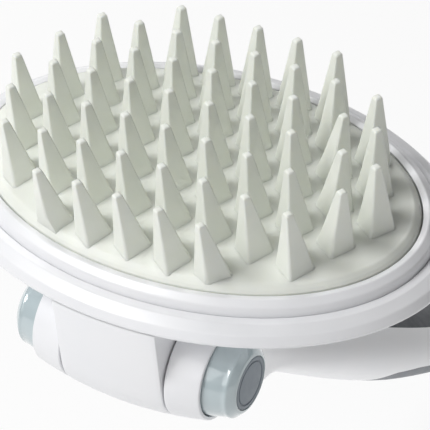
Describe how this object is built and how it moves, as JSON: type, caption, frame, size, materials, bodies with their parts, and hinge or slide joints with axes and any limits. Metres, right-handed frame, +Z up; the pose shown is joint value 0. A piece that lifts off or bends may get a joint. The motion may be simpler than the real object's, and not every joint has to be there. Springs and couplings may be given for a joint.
{
  "type": "scalp massager brush",
  "caption": "Handheld scalp massager brush: oval head of soft pyramid teeth on a long handle, joined by a crowned hinge barrel with push-button releases.",
  "frame": {"origin": "on the level of the brush's lowest point, under the middle of its box", "axes": "+Z up, out of the teeth with the head level; +X along the hinge barrel; the handle runs towards +Y and down"},
  "size_m": [0.101, 0.1666, 0.1801],
  "materials": {
    "tooth_tpe": "soft-touch, matte",
    "white_plastic": "moulded, semi-gloss",
    "inner_plastic": "as moulded",
    "button_plastic": "blue-grey, gloss",
    "disc_plastic": "slate, satin",
    "grip_tpe": "slate, soft-touch",
    "cover_plastic": "grey, fine matte grain",
    "acetal": "natural, smooth",
    "steel": "plated"
  },
  "bodies": {
    "handle": {"handle_body": "white_plastic", "top_grip": "grip_tpe", "under_cover": "cover_plastic", "cover_screws": "steel", "hang_ring": "button_plastic", "hinge_shaft": "steel", "shaft_clips": "steel", "spring_collar": "acetal", "clutch_spring_left": "steel", "clutch_spring_right": "steel"},
    "head": {"tooth_pad": "tooth_tpe", "pad_plate": "inner_plastic", "retaining_ring": "white_plastic", "head_shell": "white_plastic", "head_back": "white_plastic", "head_screws": "steel", "clutch_seat_left": "acetal", "clutch_seat_right": "acetal"},
    "button_left": {"button_left": "button_plastic", "button_disc_left": "disc_plastic", "clutch_cone_left": "acetal"},
    "button_right": {"button_right": "button_plastic", "button_disc_right": "disc_plastic", "clutch_cone_right": "acetal"}
  },
  "joints": [
    {"name": "head_tilt", "type": "hinge", "parent": "handle", "child": "head", "pos_m": [0, -0.07215, 0.14052], "axis": [1, 0, 0], "range_deg": [-40, 135]},
    {"name": "button_left_push", "type": "slide", "parent": "handle", "child": "button_left", "axis": [1, 0, 0], "range_m": [0, 0.0025], "stiffness_N_per_m": 1200, "springref_m": -0.002, "deforming": ["clutch_spring_left"]},
    {"name": "button_right_push", "type": "slide", "parent": "handle", "child": "button_right", "axis": [-1, 0, 0], "range_m": [0, 0.0025], "stiffness_N_per_m": 1200, "springref_m": -0.002, "deforming": ["clutch_spring_right"]}
  ]
}
